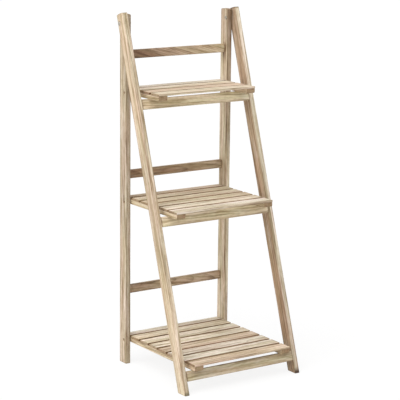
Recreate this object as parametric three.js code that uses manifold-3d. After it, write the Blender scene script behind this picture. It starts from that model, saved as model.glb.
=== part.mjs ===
// A three-tier folding plant ladder in washed softwood.
//
// An upright rear frame and a leaning front frame share one bolt at each side near the top.
// Three slatted shelves turn on screws through the rear posts and rest on the front frame's bars,
// so the stand folds flat when the shelves are lifted and the front frame swings back.
//
// Millimetres, +Z up. +X is the right-hand side seen from the front, and the front looks towards -Y.
// Inside the stand group, y = 0 is the rear face of the rear posts and z = 0 is the floor.
import * as THREE from "three";
import { mergeVertices } from "three/addons/utils/BufferGeometryUtils.js";
import Module from "manifold-3d";

const wasm = await Module();
wasm.setup();

// ---------------------------------------------------------------- driving dimensions
const SEAT_GAP = 0.3; // play between two pieces that seat on each other
const EASE = 1.2; // chamfer that takes the sharp edge off posts, rails and bars
const CUT_PAST = 1; // how far a mortise or a hole is cut past the face it opens in

const STOCK_THICK = 15; // posts and rails, across the stand
const STOCK_DEEP = 34; // posts and rails, front to back
const END_CROWN = 1.5; // rise of the top ends, which are very slightly arched
const END_ROUND = 3; // radius of the top ends' corners
const POST_HEIGHT = 1003;
const REAR_WIDTH = 356; // over the rear posts
const RAIL_PLAY = 2.2; // between a rear post and the front rail beside it

const LEAN = THREE.MathUtils.degToRad(17.8); // front rails from the vertical, when standing
const HINGE_Y = -26; // hinge bolt, from the rear face of the posts
const HINGE_Z = 978;
const RAIL_BEHIND_HINGE = 8.3; // rail's rear face to the bolt's centre, square to the rail
const RAIL_ABOVE_HINGE = 26; // top of the rail over the bolt, along the rail

const BAR_THICK = 12;
const REAR_BAR_HIGH = 24;
const FRONT_BAR_HIGH = 28;
const TENON_LONG = 8; // stub tenons at both ends of every bar
const TENON_THICK = 7;
const TENON_SHOULDER = 4; // left above and below a tenon
const REAR_BARS = [
  { name: "top", bottom: 878, rearFace: -10 },
  { name: "middle", bottom: 538, rearFace: -3 },
  { name: "bottom", bottom: 203, rearFace: -3 },
];

const SLAT_THICK = 5.7;
const SLAT_WIDE = 40;
const SLAT_GAP = 8;
const SLAT_LONG = 323.2;
const SLAT_EASE = 1;
// The rear slat of each shelf is ripped narrower, so that the front one ends at the front frame.
const SHELVES = [
  { name: "top", level: 797.5, slats: 4, rearSlatWide: 31, foldDegrees: 82 },
  { name: "middle", level: 487, slats: 6, rearSlatWide: 28, foldDegrees: 84 },
  { name: "bottom", level: 82, slats: 8, rearSlatWide: 27, foldDegrees: 87 },
];
const SHELF_REAR = 0; // rear edge of each shelf
const SHELF_PIVOT_Y = -23;

const BATTEN_WIDE = 28;
const BATTEN_HIGH = 13;
const BATTEN_INSET = 0.8; // slat end to the batten's outer side
const BATTEN_SETBACK = 0.5; // front slat's edge to the batten's end
const BATTEN_TAIL = 14; // batten behind the shelf's pivot
const BATTEN_NIP = 3; // chamfer under the batten's front end

const BOLT_R = 3; // M6 connector bolt with a low head
const BOLT_PLAY = 0.4;
const BOLT_TIP = 0.7; // chamfer at the thread's end
const BOLT_HEAD_R = 5.5;
const BOLT_HEAD_RIM = 0.7; // straight edge under the dome
const BOLT_HEAD_HIGH = 2.2;
const DOME_STEPS = 5;
const SPACER_R = 6.5; // washer between a rail and its post
const SPACER_THICK = 1.6;
const SLEEVE_R = 4; // cap nut's sleeve, which takes the bolt inside the post
const SLEEVE_LONG = 9;
const CAP_R = 4.8;
const CAP_HIGH = 1.9;
const CAP_EASE = 0.6;
const CAP_FLOOR = 3.2; // solid metal between the cap's face and the sleeve's bore
const SOCKET_FLATS = 4; // hexagon socket in the cap's face
const SOCKET_DEEP = 1.7;

const SCREW_R = 2.2; // countersunk screw that carries a shelf
const SCREW_PLAY = 0.35;
const SCREW_SUNK = 0.6; // head below the post's outer face
const SCREW_HEAD_R = 4.4;
const SCREW_HEAD_RIM = 0.3; // straight edge over the cone
const SCREW_HEAD_DEEP = 2.6;
const SCREW_RECESS_R = 1.7; // the driver's recess
const SCREW_RECESS_DEEP = 1.2;
const SCREW_IN_BATTEN = 19;
const SCREW_POINT_LONG = 4;
const SCREW_POINT_R = 0.9;
const SHELF_SPACER_R = 6;

const FRONT_FOLD_DEGREES = 16; // how far the front frame swings back
const FOLD = 0; // 0 is standing, 1 is folded flat

const ROUND_SIDES = 28;
const ARC_DIVISIONS = 6;
const WOOD_TONES = [0xcdb999, 0xd3bd9f, 0xc8b594, 0xd6c3a6, 0xcbb39a, 0xcfbf9f];
const STEEL_TONE = 0x9a9892;

// ---------------------------------------------------------------- derived places
const POST_INSIDE = REAR_WIDTH / 2 - STOCK_THICK;
const RAIL_INSIDE = REAR_WIDTH / 2 + RAIL_PLAY;
const RAIL_OUTSIDE = RAIL_INSIDE + STOCK_THICK;
const RAIL_FRONT = RAIL_BEHIND_HINGE - STOCK_DEEP; // in the front frame, from the bolt's centre
const FOOT_FRONT = HINGE_Y + RAIL_FRONT * Math.cos(LEAN) + alongRail(0, RAIL_FRONT) * Math.sin(LEAN);
const SLAT_TOP = BATTEN_HIGH / 2 + SEAT_GAP + SLAT_THICK; // over a shelf's pivot
const BATTEN_OUTSIDE = SLAT_LONG / 2 - BATTEN_INSET;

// Distance along a rail from the hinge bolt, for a point at a height over the floor and at
// an offset square to the rail.
function alongRail(height, offset) {
  return (height - HINGE_Z + offset * Math.sin(LEAN)) / Math.cos(LEAN);
}

const shelfDepth = (shelf) => shelf.rearSlatWide + (shelf.slats - 1) * (SLAT_WIDE + SLAT_GAP);

// ---------------------------------------------------------------- solids
function toSolid(geometry) {
  const bare = new THREE.BufferGeometry();
  bare.setAttribute("position", geometry.getAttribute("position"));
  if (geometry.index) bare.setIndex(geometry.index);
  const merged = mergeVertices(bare, 1e-4);
  const mesh = new wasm.Mesh({
    numProp: 3,
    vertProperties: new Float32Array(merged.attributes.position.array),
    triVerts: new Uint32Array(merged.index.array),
  });
  return new wasm.Manifold(mesh);
}

function toGeometry(solid) {
  const mesh = solid.getMesh();
  const geometry = new THREE.BufferGeometry();
  geometry.setAttribute("position", new THREE.BufferAttribute(mesh.vertProperties, 3));
  geometry.setIndex(new THREE.BufferAttribute(mesh.triVerts, 1));
  const faceted = geometry.toNonIndexed();
  faceted.computeVertexNormals();
  return faceted;
}

// A shape drawn in the side view, as (y, z), carried along X from x = 0 to x = wide.
function acrossStand(shape, wide, ease = 0) {
  const geometry = new THREE.ExtrudeGeometry(shape, {
    depth: wide - 2 * ease,
    curveSegments: ARC_DIVISIONS,
    bevelEnabled: ease > 0,
    bevelThickness: ease,
    bevelSize: ease,
    bevelOffset: -ease,
    bevelSegments: 1,
  });
  geometry.translate(0, 0, ease);
  const sideView = new THREE.Matrix4().makeBasis(
    new THREE.Vector3(0, 1, 0),
    new THREE.Vector3(0, 0, 1),
    new THREE.Vector3(1, 0, 0),
  );
  return geometry.applyMatrix4(sideView);
}

// A closed outline from a list of [y, z] corners.
function outline(corners) {
  return new THREE.Shape(corners.map(([y, z]) => new THREE.Vector2(y, z)));
}

// A rectangle in the side view with its four corners eased.
function easedRectangle(yLow, yHigh, zLow, zHigh, ease) {
  return outline([
    [yLow + ease, zLow],
    [yHigh - ease, zLow],
    [yHigh, zLow + ease],
    [yHigh, zHigh - ease],
    [yHigh - ease, zHigh],
    [yLow + ease, zHigh],
    [yLow, zHigh - ease],
    [yLow, zLow + ease],
  ]);
}

function box(xLow, xHigh, yLow, yHigh, zLow, zHigh) {
  const geometry = new THREE.BoxGeometry(xHigh - xLow, yHigh - yLow, zHigh - zLow);
  geometry.translate((xLow + xHigh) / 2, (yLow + yHigh) / 2, (zLow + zHigh) / 2);
  return toSolid(geometry);
}

// A solid of revolution about the X axis, from a profile of [radius, x] points.
function turned(profile) {
  const points = profile.map(([radius, x]) => new THREE.Vector2(radius, x));
  const geometry = new THREE.LatheGeometry(points, ROUND_SIDES);
  geometry.rotateZ(-Math.PI / 2);
  return toSolid(geometry);
}

function drill(radius, xLow, xHigh) {
  return turned([
    [0, xLow],
    [radius, xLow],
    [radius, xHigh],
    [0, xHigh],
  ]);
}

function ring(inner, outer, xLow, xHigh) {
  return turned([
    [inner, xLow],
    [outer, xLow],
    [outer, xHigh],
    [inner, xHigh],
    [inner, xLow],
  ]);
}

// ---------------------------------------------------------------- uprights
// The side view of a post or rail: a level or slanted foot, straight sides, and a top end that is a
// shallow arch with a small round at each corner.
function uprightShape(front, footFront, footRear, top) {
  const rear = front + STOCK_DEEP;
  const half = STOCK_DEEP / 2;
  const archR = (half * half + END_CROWN * END_CROWN) / (2 * END_CROWN);
  const archZ = top - archR;
  const roundZ = archZ + Math.sqrt((archR - END_ROUND) ** 2 - (half - END_ROUND) ** 2);
  const spring = Math.atan2(roundZ - archZ, half - END_ROUND);
  const shape = new THREE.Shape();
  shape.moveTo(rear, footRear);
  shape.lineTo(front, footFront);
  shape.lineTo(front, roundZ);
  shape.absarc(front + END_ROUND, roundZ, END_ROUND, Math.PI, Math.PI - spring, true);
  shape.absarc(front + half, archZ, archR, Math.PI - spring, spring, true);
  shape.absarc(rear - END_ROUND, roundZ, END_ROUND, spring, 0, true);
  shape.closePath();
  return shape;
}

// The blind mortise that takes a bar's stub tenon, cut into an inner face at x = inside.
function mortise(inside, tenon) {
  return box(
    inside - CUT_PAST,
    inside + TENON_LONG + SEAT_GAP,
    tenon.yLow - SEAT_GAP,
    tenon.yHigh + SEAT_GAP,
    tenon.zLow - SEAT_GAP,
    tenon.zHigh + SEAT_GAP,
  );
}

// Where a bar's tenon lies, for a bar whose rear face and lower edge are given.
function tenonOf(rearFace, bottom, high) {
  const middle = rearFace - BAR_THICK / 2;
  return {
    yLow: middle - TENON_THICK / 2,
    yHigh: middle + TENON_THICK / 2,
    zLow: bottom + TENON_SHOULDER,
    zHigh: bottom + high - TENON_SHOULDER,
  };
}

// Clearance for a shelf's screw, countersunk from the post's outer face.
function screwHole(y, z) {
  const outside = REAR_WIDTH / 2;
  const mouth = SCREW_HEAD_R + SCREW_PLAY;
  const throat = SCREW_R + SCREW_PLAY;
  return turned([
    [0, POST_INSIDE - CUT_PAST],
    [throat, POST_INSIDE - CUT_PAST],
    [throat, outside - SCREW_SUNK - SCREW_HEAD_DEEP - SCREW_PLAY],
    [mouth, outside - SCREW_SUNK - SCREW_PLAY],
    [mouth, outside + CUT_PAST],
    [0, outside + CUT_PAST],
  ]).translate([0, y, z]);
}

// The bolt's hole through a post, wider from the inner face for the cap nut's sleeve.
function sleeveHole() {
  const outside = REAR_WIDTH / 2;
  const wide = SLEEVE_R + BOLT_PLAY;
  const narrow = BOLT_R + BOLT_PLAY;
  return turned([
    [0, POST_INSIDE - CUT_PAST],
    [wide, POST_INSIDE - CUT_PAST],
    [wide, POST_INSIDE + SLEEVE_LONG + BOLT_PLAY],
    [narrow, POST_INSIDE + SLEEVE_LONG + BOLT_PLAY],
    [narrow, outside + CUT_PAST],
    [0, outside + CUT_PAST],
  ]).translate([0, HINGE_Y, HINGE_Z]);
}

function rearPost() {
  const shape = uprightShape(-STOCK_DEEP, 0, 0, POST_HEIGHT);
  let post = toSolid(acrossStand(shape, STOCK_THICK, EASE)).translate([POST_INSIDE, 0, 0]);
  post = post.subtract(sleeveHole());
  for (const bar of REAR_BARS)
    post = post.subtract(mortise(POST_INSIDE, tenonOf(bar.rearFace, bar.bottom, REAR_BAR_HIGH)));
  for (const shelf of SHELVES)
    post = post.subtract(screwHole(SHELF_PIVOT_Y, shelf.level - SLAT_TOP));
  return post;
}

// The lower edge of a front bar, along the rail: its upper front edge carries the battens.
function frontBarBottom(shelf) {
  const battenUnderside = shelf.level - SLAT_TOP - BATTEN_HIGH / 2;
  return alongRail(battenUnderside - SEAT_GAP, RAIL_FRONT + EASE) - FRONT_BAR_HIGH;
}

function frontRail() {
  const rear = RAIL_FRONT + STOCK_DEEP;
  const shape = uprightShape(RAIL_FRONT, alongRail(0, RAIL_FRONT), alongRail(0, rear), RAIL_ABOVE_HINGE);
  let rail = toSolid(acrossStand(shape, STOCK_THICK, EASE)).translate([RAIL_INSIDE, 0, 0]);
  rail = rail.subtract(drill(BOLT_R + BOLT_PLAY, RAIL_INSIDE - CUT_PAST, RAIL_OUTSIDE + CUT_PAST));
  for (const shelf of SHELVES) {
    const tenon = tenonOf(RAIL_FRONT + BAR_THICK, frontBarBottom(shelf), FRONT_BAR_HIGH);
    rail = rail.subtract(mortise(RAIL_INSIDE, tenon));
  }
  return rail;
}

// ---------------------------------------------------------------- bars
// A bar between two uprights whose inner faces are at x = +inside and -inside, with stub tenons.
function bar(inside, rearFace, bottom, high) {
  const length = 2 * (inside - SEAT_GAP);
  const shape = easedRectangle(rearFace - BAR_THICK, rearFace, bottom, bottom + high, EASE);
  const body = toSolid(acrossStand(shape, length)).translate([-length / 2, 0, 0]);
  const tenon = tenonOf(rearFace, bottom, high);
  const reach = inside + TENON_LONG;
  return body.add(box(-reach, reach, tenon.yLow, tenon.yHigh, tenon.zLow, tenon.zHigh));
}

// ---------------------------------------------------------------- shelves
// Everything on a shelf is placed from its pivot axis: y towards the rear, z up.
function slat(rearEdge, wide) {
  const shape = easedRectangle(rearEdge - wide, rearEdge, SLAT_TOP - SLAT_THICK, SLAT_TOP, SLAT_EASE);
  return toSolid(acrossStand(shape, SLAT_LONG)).translate([-SLAT_LONG / 2, 0, 0]);
}

// A batten runs under the slat ends. Its tail is rounded so that it clears as the shelf is lifted.
function batten(shelf) {
  const half = BATTEN_HIGH / 2;
  const frontEnd = SHELF_REAR - SHELF_PIVOT_Y - shelfDepth(shelf) + BATTEN_SETBACK;
  const shape = new THREE.Shape();
  shape.moveTo(frontEnd + BATTEN_NIP, -half);
  shape.lineTo(BATTEN_TAIL - half, -half);
  shape.absarc(BATTEN_TAIL - half, 0, half, -Math.PI / 2, Math.PI / 2, false);
  shape.lineTo(frontEnd, half);
  shape.lineTo(frontEnd, -half + BATTEN_NIP);
  shape.closePath();
  const inside = BATTEN_OUTSIDE - BATTEN_WIDE;
  const blank = toSolid(acrossStand(shape, BATTEN_WIDE, SLAT_EASE)).translate([inside, 0, 0]);
  const bottomOfHole = BATTEN_OUTSIDE - SCREW_IN_BATTEN - SEAT_GAP;
  return blank.subtract(drill(SCREW_R + SCREW_PLAY, bottomOfHole, BATTEN_OUTSIDE + CUT_PAST));
}

// A countersunk screw, its head sunk in the post's outer face and its point in the batten.
function shelfScrew() {
  const headFace = REAR_WIDTH / 2 - SCREW_SUNK;
  const point = BATTEN_OUTSIDE - SCREW_IN_BATTEN;
  return turned([
    [0, point],
    [SCREW_POINT_R, point],
    [SCREW_R, point + SCREW_POINT_LONG],
    [SCREW_R, headFace - SCREW_HEAD_DEEP],
    [SCREW_HEAD_R, headFace - SCREW_HEAD_RIM],
    [SCREW_HEAD_R, headFace],
    [SCREW_RECESS_R, headFace],
    [SCREW_RECESS_R, headFace - SCREW_RECESS_DEEP],
    [0, headFace - SCREW_RECESS_DEEP],
  ]);
}

function shelfSpacer() {
  const inner = SCREW_R + SCREW_PLAY;
  return ring(inner, SHELF_SPACER_R, BATTEN_OUTSIDE + SEAT_GAP, POST_INSIDE - SEAT_GAP);
}

// ---------------------------------------------------------------- hinge bolt and cap nut
// A bolt goes through the rail, a spacing washer and the post into the sleeve of a cap nut.
const CAP_SEAT = POST_INSIDE - SEAT_GAP;
const CAP_FACE = CAP_SEAT - CAP_HIGH;
const BORE_END = CAP_FACE + CAP_FLOOR;

function hingeBolt() {
  const seat = RAIL_OUTSIDE + SEAT_GAP;
  const end = BORE_END + SEAT_GAP;
  const profile = [
    [0, end],
    [BOLT_R - BOLT_TIP, end],
    [BOLT_R, end + BOLT_TIP],
    [BOLT_R, seat],
    [BOLT_HEAD_R, seat],
  ];
  for (let i = 0; i < DOME_STEPS; i++) {
    const angle = (i / DOME_STEPS) * (Math.PI / 2);
    const rise = (BOLT_HEAD_HIGH - BOLT_HEAD_RIM) * Math.sin(angle);
    profile.push([BOLT_HEAD_R * Math.cos(angle), seat + BOLT_HEAD_RIM + rise]);
  }
  profile.push([0, seat + BOLT_HEAD_HIGH]);
  return turned(profile);
}

function hingeSpacer() {
  const centre = (REAR_WIDTH / 2 + RAIL_INSIDE) / 2;
  return ring(BOLT_R + BOLT_PLAY, SPACER_R, centre - SPACER_THICK / 2, centre + SPACER_THICK / 2);
}

function hingeCapNut() {
  const bore = BOLT_R + SEAT_GAP;
  const sleeveEnd = POST_INSIDE + SLEEVE_LONG;
  const blank = turned([
    [0, CAP_FACE],
    [CAP_R - CAP_EASE, CAP_FACE],
    [CAP_R, CAP_FACE + CAP_EASE],
    [CAP_R, CAP_SEAT],
    [SLEEVE_R, CAP_SEAT],
    [SLEEVE_R, sleeveEnd],
    [bore, sleeveEnd],
    [bore, BORE_END],
    [0, BORE_END],
  ]);
  const corner = SOCKET_FLATS / 2 / Math.cos(Math.PI / 6);
  const sixth = Math.PI / 3;
  const corners = [0, 1, 2, 3, 4, 5].map((i) => [corner * Math.cos(i * sixth), corner * Math.sin(i * sixth)]);
  const socket = toSolid(acrossStand(outline(corners), SOCKET_DEEP + CUT_PAST));
  return blank.subtract(socket.translate([CAP_FACE - CUT_PAST, 0, 0]));
}

// ---------------------------------------------------------------- assembly
let woodPieces = 0;

function wooden(name, solid) {
  const tone = WOOD_TONES[woodPieces++ % WOOD_TONES.length];
  const material = new THREE.MeshStandardMaterial({ color: tone, roughness: 0.78, metalness: 0 });
  const mesh = new THREE.Mesh(toGeometry(solid), material);
  mesh.name = name;
  return mesh;
}

function steel(name, solid) {
  const material = new THREE.MeshStandardMaterial({ color: STEEL_TONE, roughness: 0.42, metalness: 0.9 });
  const mesh = new THREE.Mesh(toGeometry(solid), material);
  mesh.name = name;
  return mesh;
}

// Adds a right-hand piece and its mirror image on the left.
function addPair(group, finish, name, solid) {
  group.add(finish(`${name}_left`, solid.mirror([1, 0, 0])));
  group.add(finish(`${name}_right`, solid));
}

function rearFrame() {
  const frame = new THREE.Group();
  addPair(frame, wooden, "rear_post", rearPost());
  for (const { name, bottom, rearFace } of REAR_BARS)
    frame.add(wooden(`rear_bar_${name}`, bar(POST_INSIDE, rearFace, bottom, REAR_BAR_HIGH)));
  return frame;
}

// The front frame is built upright about the hinge bolt, then swung out to its lean.
function frontFrame() {
  const frame = new THREE.Group();
  frame.position.set(0, HINGE_Y, HINGE_Z);
  frame.rotation.x = -LEAN + FOLD * THREE.MathUtils.degToRad(FRONT_FOLD_DEGREES);
  addPair(frame, wooden, "front_rail", frontRail());
  for (const shelf of SHELVES) {
    const solid = bar(RAIL_INSIDE, RAIL_FRONT + BAR_THICK, frontBarBottom(shelf), FRONT_BAR_HIGH);
    frame.add(wooden(`front_bar_${shelf.name}`, solid));
  }
  addPair(frame, steel, "hinge_bolt", hingeBolt());
  addPair(frame, steel, "hinge_spacer", hingeSpacer());
  addPair(frame, steel, "hinge_cap_nut", hingeCapNut());
  return frame;
}

function slattedShelf(shelf) {
  const group = new THREE.Group();
  group.position.set(0, SHELF_PIVOT_Y, shelf.level - SLAT_TOP);
  group.rotation.x = -FOLD * THREE.MathUtils.degToRad(shelf.foldDegrees);
  const rear = SHELF_REAR - SHELF_PIVOT_Y;
  group.add(wooden(`${shelf.name}_slat_1`, slat(rear, shelf.rearSlatWide)));
  for (let i = 1; i < shelf.slats; i++) {
    const rearEdge = rear - shelf.rearSlatWide - SLAT_GAP - (i - 1) * (SLAT_WIDE + SLAT_GAP);
    group.add(wooden(`${shelf.name}_slat_${i + 1}`, slat(rearEdge, SLAT_WIDE)));
  }
  addPair(group, wooden, `${shelf.name}_batten`, batten(shelf));
  addPair(group, steel, `${shelf.name}_pivot_screw`, shelfScrew());
  addPair(group, steel, `${shelf.name}_pivot_spacer`, shelfSpacer());
  return group;
}

const stand = new THREE.Group();
stand.position.y = -FOOT_FRONT / 2;
stand.add(rearFrame(), frontFrame(), ...SHELVES.map(slattedShelf));

const group = new THREE.Group();
group.add(stand);

export default group;
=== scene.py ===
# %% [markdown]
# # A folding plant ladder in washed softwood
# The stand is timber from top to bottom: two upright posts, two leaning rails, thin bars between them and
# three slatted shelves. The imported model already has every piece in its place, so this lesson starts from
# it and gives each board what a saw, a plane and a few summers give it: eased edges, growth rings, worn
# corners.

# %% Load the frame
import math
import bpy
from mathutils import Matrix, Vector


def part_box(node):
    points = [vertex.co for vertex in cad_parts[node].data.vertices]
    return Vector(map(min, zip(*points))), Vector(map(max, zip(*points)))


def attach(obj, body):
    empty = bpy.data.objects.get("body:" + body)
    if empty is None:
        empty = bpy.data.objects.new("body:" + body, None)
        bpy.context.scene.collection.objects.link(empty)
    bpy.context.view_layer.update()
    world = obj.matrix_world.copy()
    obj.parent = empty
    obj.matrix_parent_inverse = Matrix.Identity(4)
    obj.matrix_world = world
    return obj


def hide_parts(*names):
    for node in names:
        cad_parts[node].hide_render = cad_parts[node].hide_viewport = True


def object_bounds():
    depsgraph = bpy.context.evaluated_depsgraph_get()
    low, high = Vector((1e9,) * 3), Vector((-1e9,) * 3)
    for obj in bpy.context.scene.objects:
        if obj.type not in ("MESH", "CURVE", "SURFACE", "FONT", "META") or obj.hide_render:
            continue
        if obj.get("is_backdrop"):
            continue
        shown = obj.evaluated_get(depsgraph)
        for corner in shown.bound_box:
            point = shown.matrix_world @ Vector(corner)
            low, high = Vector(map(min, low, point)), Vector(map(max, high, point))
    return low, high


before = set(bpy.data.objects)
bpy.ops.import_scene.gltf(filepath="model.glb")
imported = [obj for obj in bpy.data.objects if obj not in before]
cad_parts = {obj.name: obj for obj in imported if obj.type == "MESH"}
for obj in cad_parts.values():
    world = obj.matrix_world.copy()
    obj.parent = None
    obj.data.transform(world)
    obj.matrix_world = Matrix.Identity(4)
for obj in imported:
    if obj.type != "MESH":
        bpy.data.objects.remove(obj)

import zlib

import bpy
import numpy as np
from mathutils import Matrix, Vector

SIDES = (("left", -1), ("right", 1))
SHELVES = ("top", "middle", "bottom")
scene = bpy.context.scene
cad_low, cad_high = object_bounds()
print("frame:", len(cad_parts), "nodes,", [round(v, 4) for v in (*cad_low, *cad_high)])

# %% [markdown]
# ## The camera
# A stand photographed for a catalogue is seen from a few metres away through a long lens, so that its
# uprights stay nearly parallel. The camera could be placed by eye, but every edge of the stand gives away
# where it stood. The numbers here were solved from those edges, and a small lens shift puts the stand at
# its place in the picture.

# %% Place the camera
IMAGE_SIDE = 400
FOCAL_PIXELS = 1634.13
PRINCIPAL_POINT = (194.31, 218.85)
AZIMUTH, ELEVATION, ROLL = (math.radians(v) for v in (-34.20, 12.61, 0.60))
EYE = Vector((-2.54666, -3.67810, 1.43593))

right = Vector((math.cos(AZIMUTH), math.sin(AZIMUTH), 0))
level = math.cos(ELEVATION)
back = Vector((math.sin(AZIMUTH) * level, -math.cos(AZIMUTH) * level, math.sin(ELEVATION)))
up = back.cross(right)
rolled_right = right * math.cos(ROLL) + up * math.sin(ROLL)
rolled_up = up * math.cos(ROLL) - right * math.sin(ROLL)

lens = bpy.data.cameras.new("camera")
lens.sensor_width = 36
lens.lens = FOCAL_PIXELS / IMAGE_SIDE * lens.sensor_width
lens.shift_x = 0.5 - PRINCIPAL_POINT[0] / IMAGE_SIDE
lens.shift_y = PRINCIPAL_POINT[1] / IMAGE_SIDE - 0.5
lens.clip_end = 200
camera = bpy.data.objects.new("camera", lens)
turn = Matrix((rolled_right, rolled_up, back)).transposed().to_4x4()
camera.matrix_world = Matrix.Translation(EYE) @ turn
scene.collection.objects.link(camera)
scene.camera = camera
print("camera: lens %.1f mm" % lens.lens)

# %% [markdown]
# ## Shader sums
# A wood finish is mostly arithmetic: how far is this point from the heart of the tree, and where is it in
# that year's ring? Laying out dozens of Math nodes by hand hides the sum. One small class holds a socket,
# so that an expression such as 1 - mask adds the nodes by itself, and one method makes any other node.

# %% A class for sockets
def both_ways(operation):
    """Two methods: one for wire and value in this order, and its reflected form for value and wire."""
    def forward(self, other):
        return self.sum(operation, self, other)

    def reflected(self, other):
        return self.sum(operation, other, self)

    return forward, reflected


class Wire:
    """A node's output that works as a number in a sum."""

    def __init__(self, finish, socket):
        self.finish, self.socket = finish, socket

    def also(self, output):
        """Another output of the same node."""
        return Wire(self.finish, self.socket.node.outputs[output])

    def sum(self, operation, first, second=None):
        """A Math node on one value or on two."""
        inputs = {0: first} if second is None else {0: first, 1: second}
        return self.finish.node("ShaderNodeMath", {"operation": operation}, inputs)

    __add__, __radd__ = both_ways("ADD")
    __sub__, __rsub__ = both_ways("SUBTRACT")
    __mul__, __rmul__ = both_ways("MULTIPLY")
    __truediv__, __rtruediv__ = both_ways("DIVIDE")
    __pow__, __rpow__ = both_ways("POWER")

    def __abs__(self):
        """The distance from 0."""
        return self.sum("ABSOLUTE", self)

    def fraction(self):
        """What is left above the whole number below."""
        return self.sum("FRACT", self)

    def floor(self):
        """The whole number below."""
        return self.sum("FLOOR", self)


print("a wire takes + - * / and **, from either side")

# %% A class for node trees
class Finish:
    """The node tree of a material or of the world, built node by node."""

    def __init__(self, owner):
        self.owner = owner
        owner.use_nodes = True
        self.tree = owner.node_tree
        self.tree.nodes.clear()

    def node(self, kind, settings=None, inputs=None, output=0):
        """Any node: its type, its settings, its sockets' values or links, and the output that is wanted."""
        made = self.tree.nodes.new(kind)
        for key, value in (settings or {}).items():
            setattr(made, key, value)
        for key, value in (inputs or {}).items():
            if isinstance(value, Wire):
                self.tree.links.new(value.socket, made.inputs[key])
            else:
                made.inputs[key].default_value = value
        return Wire(self, made.outputs[output])

    def step(self, value, low, high):
        """0 below low, 1 above high, and a smooth curve between; low may be the larger."""
        limits = {"Value": value, "From Min": low, "From Max": high}
        return self.node("ShaderNodeMapRange", {"interpolation_type": "SMOOTHSTEP"}, limits)

    def vector(self, operation, first, second, output=0):
        """A Vector Math node."""
        return self.node("ShaderNodeVectorMath", {"operation": operation}, {0: first, 1: second}, output)

    def mix(self, factor, first, second, blend="MIX"):
        """Colours: first at factor 0, second, or the blend of both, at factor 1."""
        colours = {0: factor, 6: first, 7: second}
        return self.node("ShaderNodeMix", {"data_type": "RGBA", "blend_type": blend}, colours, 2)

    def surface(self, **sockets):
        """The Principled shader, with underscores in the names for spaces."""
        named = {key.replace("_", " "): value for key, value in sockets.items()}
        self.end(self.node("ShaderNodeBsdfPrincipled", None, named))

    def end(self, shader, kind="ShaderNodeOutputMaterial"):
        """Links the shader to the tree's output."""
        output = self.tree.nodes.new(kind)
        self.tree.links.new(shader.socket, output.inputs["Surface"])


def linear(red, green, blue):
    """A colour as seen on a screen, 0 to 255, as the light it stands for."""
    return np.array([(v / 255) ** 2.2 for v in (red, green, blue)] + [1])


print("a screen's middle grey gives %.2f of white's light" % linear(128, 128, 128)[0])

# %% [markdown]
# ## Light and floor
# The stand stands on a white sweep under one large soft lamp, high on its left and a little to the front.
# The left faces and the shelves catch it, the front faces get about three quarters of what the left ones
# get, and the insides fall back. A wide sun lamp gives that evenly. The white comes from the floor and
# the world, not from more light.

# %% Light the room
LAMP_TOWARDS = Vector((-0.43, -0.17, 0.68))
LAMP_WIDTH = 60          # degrees of sky
WORLD_LEVEL = 0.60
WHITE = (1, 1, 1, 1)

sun = bpy.data.lights.new("softbox", "SUN")
sun.energy = LAMP_TOWARDS.length * math.pi
sun.angle = math.radians(LAMP_WIDTH)
lamp = bpy.data.objects.new("softbox", sun)
lamp.rotation_euler = LAMP_TOWARDS.to_track_quat("Z", "Y").to_euler()
scene.collection.objects.link(lamp)


def seen_directly(finish):
    """1 where the camera, a mirror or a pane looks at the surface, and 0 where it only gives light."""
    path = finish.node("ShaderNodeLightPath", output="Is Camera Ray")
    shown = path + path.also("Is Glossy Ray") + path.also("Is Transmission Ray")
    return shown.sum("MINIMUM", shown, 1.0)


world = bpy.data.worlds.new("white_room")
scene.world = world
room = Finish(world)
strength = WORLD_LEVEL + (1 - WORLD_LEVEL) * seen_directly(room)
sky = room.node("ShaderNodeBackground", None, {"Color": WHITE, "Strength": strength})
room.end(sky, "ShaderNodeOutputWorld")
scene.view_settings.view_transform = "Standard"
print("lamp:", round(sun.energy, 2), "world:", WORLD_LEVEL)

# %% Lay the floor
FLOOR_SHADE = 0.90
FLOOR_WHITE = 0.85       # how far the floor's own shade gives way to plain white where the camera sees it
FLOOR_HALF = 60.0

sweep = Finish(bpy.data.materials.new("white_floor"))
matt = sweep.node("ShaderNodeBsdfDiffuse", None, {"Color": (FLOOR_SHADE,) * 3 + (1,)})
white = sweep.node("ShaderNodeEmission", None, {"Color": WHITE, "Strength": 1.0})
share = FLOOR_WHITE * seen_directly(sweep)
sweep.end(sweep.node("ShaderNodeMixShader", None, {0: share, 1: matt, 2: white}))

floor_mesh = bpy.data.meshes.new("floor")
corners = [(x * FLOOR_HALF, y * FLOOR_HALF, 0) for x, y in ((-1, -1), (1, -1), (1, 1), (-1, 1))]
floor_mesh.from_pydata(corners, [], [(0, 1, 2, 3)])
floor_mesh.materials.append(sweep.owner)
floor = bpy.data.objects.new("floor", floor_mesh)
scene.collection.objects.link(floor)
floor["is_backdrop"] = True
print("floor:", 2 * FLOOR_HALF, "m square")

# %% [markdown]
# ## The shape of a board
# A planed board isn't a box. Its long edges are eased, a little more here than there, its ends are cut
# square, arched or level with the floor, and it is never quite straight. It could be a cube with a bevel,
# but then every board would be the same. Here it is a surface: an outline with rounded corners, carried
# along the grain, whose corner radius drifts and whose line bows by up to a tenth of a millimetre.

# %% The outline of a section
CORNER_STEPS = 4
SIDE_STEPS = 15


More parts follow.
